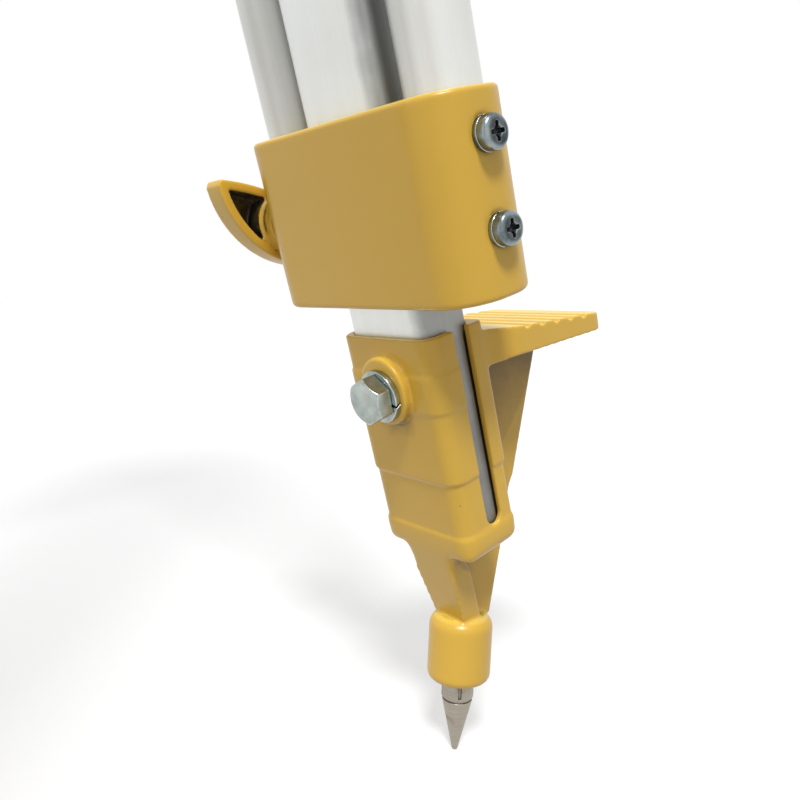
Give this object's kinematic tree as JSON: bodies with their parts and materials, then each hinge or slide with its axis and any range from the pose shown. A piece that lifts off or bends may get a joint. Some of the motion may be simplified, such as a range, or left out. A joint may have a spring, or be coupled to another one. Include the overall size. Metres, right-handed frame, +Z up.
{
  "type": "surveying tripod",
  "caption": "Aluminium surveying tripod with telescopic twin-tube legs, cast clamps with wing knobs, foot pedals with steel points, and a flat round head with a sliding instrument screw.",
  "frame": {"origin": "centre of the head's flat top face, on the axis of the instrument screw", "axes": "+Z up, out of the head; +Y outwards along leg 1, with legs 2 and 3 at 120 and 240 degrees; the legs stand 15 degrees from the vertical"},
  "size_m": [0.634, 0.5606, 1.0254],
  "materials": {
    "yellow_paint": "gloss enamel over a sand-cast skin",
    "aluminium": "drawn, satin",
    "zinc": "bright zinc plate",
    "steel": "turned, bare",
    "brass": "turned",
    "black_plastic": "moulded, fine grain"
  },
  "bodies": {
    "head": {"head_casting": "yellow_paint", "arm_keeper": "zinc", "head_screws": "zinc", "hinge_bolt_1": "zinc", "hinge_bolt_2": "zinc", "hinge_bolt_3": "zinc", "hinge_nut_1": "zinc", "hinge_nut_2": "zinc", "hinge_nut_3": "zinc"},
    "arm": {"centring_arm": "aluminium"},
    "bush": {"screw_bush": "brass"},
    "screw": {"fixing_screw": "steel", "retaining_ring": "steel", "screw_grip": "black_plastic", "plumb_hook": "steel"},
    "leg_1": {"leg_top_1": "yellow_paint", "tube_left_1": "aluminium", "tube_right_1": "aluminium", "clamp_casting_1": "yellow_paint", "pan_screws_1": "zinc", "spring_washers_1": "zinc"},
    "lower_leg_1": {"inner_tube_1": "aluminium", "slider_guide_1": "black_plastic", "foot_casting_1": "yellow_paint", "foot_bolt_1": "zinc", "foot_washer_1": "zinc", "foot_point_1": "steel"},
    "pad_1": {"brake_pad_1": "black_plastic"},
    "knob_1": {"wing_knob_1": "yellow_paint", "clamp_stud_1": "zinc"},
    "leg_2": {"leg_top_2": "yellow_paint", "tube_left_2": "aluminium", "tube_right_2": "aluminium", "clamp_casting_2": "yellow_paint", "pan_screws_2": "zinc", "spring_washers_2": "zinc"},
    "lower_leg_2": {"inner_tube_2": "aluminium", "slider_guide_2": "black_plastic", "foot_casting_2": "yellow_paint", "foot_bolt_2": "zinc", "foot_washer_2": "zinc", "foot_point_2": "steel"},
    "pad_2": {"brake_pad_2": "black_plastic"},
    "knob_2": {"wing_knob_2": "yellow_paint", "clamp_stud_2": "zinc"},
    "leg_3": {"leg_top_3": "yellow_paint", "tube_left_3": "aluminium", "tube_right_3": "aluminium", "clamp_casting_3": "yellow_paint", "pan_screws_3": "zinc", "spring_washers_3": "zinc"},
    "lower_leg_3": {"inner_tube_3": "aluminium", "slider_guide_3": "black_plastic", "foot_casting_3": "yellow_paint", "foot_bolt_3": "zinc", "foot_washer_3": "zinc", "foot_point_3": "steel"},
    "pad_3": {"brake_pad_3": "black_plastic"},
    "knob_3": {"wing_knob_3": "yellow_paint", "clamp_stud_3": "zinc"}
  },
  "joints": [
    {"name": "arm_swing", "type": "hinge", "parent": "head", "child": "arm", "pos_m": [0, -0.056, 0], "axis": [0, 0, 1], "range_deg": [-13, 13]},
    {"name": "screw_slide", "type": "slide", "parent": "arm", "child": "bush", "axis": [0, 1, 0], "range_m": [-0.014, 0.014]},
    {"name": "screw_turn", "type": "hinge", "parent": "bush", "child": "screw", "pos_m": [0, 0, 0], "axis": [0, 0, 1], "continuous": true},
    {"name": "leg_hinge_1", "type": "hinge", "parent": "head", "child": "leg_1", "pos_m": [0, 0.06, -0.03], "axis": [1, 0, 0], "range_deg": [-15, 20]},
    {"name": "leg_slide_1", "type": "slide", "parent": "leg_1", "child": "lower_leg_1", "axis": [0, 0.2588, -0.9659], "range_m": [-0.01, 0.6]},
    {"name": "pad_slide_1", "type": "slide", "parent": "leg_1", "child": "pad_1", "axis": [-1, 0, 0], "range_m": [0, 0.001]},
    {"name": "knob_turn_1", "type": "hinge", "parent": "pad_1", "child": "knob_1", "pos_m": [-0.0514, 0.27001, -0.81375], "axis": [-1, 0, 0], "range_deg": [0, 270]},
    {"name": "leg_hinge_2", "type": "hinge", "parent": "head", "child": "leg_2", "pos_m": [-0.05196, -0.03, -0.03], "axis": [-0.5, 0.866, 0], "range_deg": [-15, 20]},
    {"name": "leg_slide_2", "type": "slide", "parent": "leg_2", "child": "lower_leg_2", "axis": [-0.2241, -0.1294, -0.9659], "range_m": [-0.01, 0.6]},
    {"name": "pad_slide_2", "type": "slide", "parent": "leg_2", "child": "pad_2", "axis": [0.5, -0.866, 0], "range_m": [0, 0.001]},
    {"name": "knob_turn_2", "type": "hinge", "parent": "pad_2", "child": "knob_2", "pos_m": [-0.20813, -0.17952, -0.81375], "axis": [0.5, -0.866, 0], "range_deg": [0, 270]},
    {"name": "leg_hinge_3", "type": "hinge", "parent": "head", "child": "leg_3", "pos_m": [0.05196, -0.03, -0.03], "axis": [-0.5, -0.866, 0], "range_deg": [-15, 20]},
    {"name": "leg_slide_3", "type": "slide", "parent": "leg_3", "child": "lower_leg_3", "axis": [0.2241, -0.1294, -0.9659], "range_m": [-0.01, 0.6]},
    {"name": "pad_slide_3", "type": "slide", "parent": "leg_3", "child": "pad_3", "axis": [0.5, 0.866, 0], "range_m": [0, 0.001]},
    {"name": "knob_turn_3", "type": "hinge", "parent": "pad_3", "child": "knob_3", "pos_m": [0.25953, -0.09049, -0.81375], "axis": [0.5, 0.866, 0], "range_deg": [0, 270]}
  ],
  "couplings": [
    {"joint": "pad_slide_1", "follows": "knob_turn_1", "m_per_rad": 0.000199},
    {"joint": "pad_slide_2", "follows": "knob_turn_2", "m_per_rad": 0.000199},
    {"joint": "pad_slide_3", "follows": "knob_turn_3", "m_per_rad": 0.000199}
  ]
}
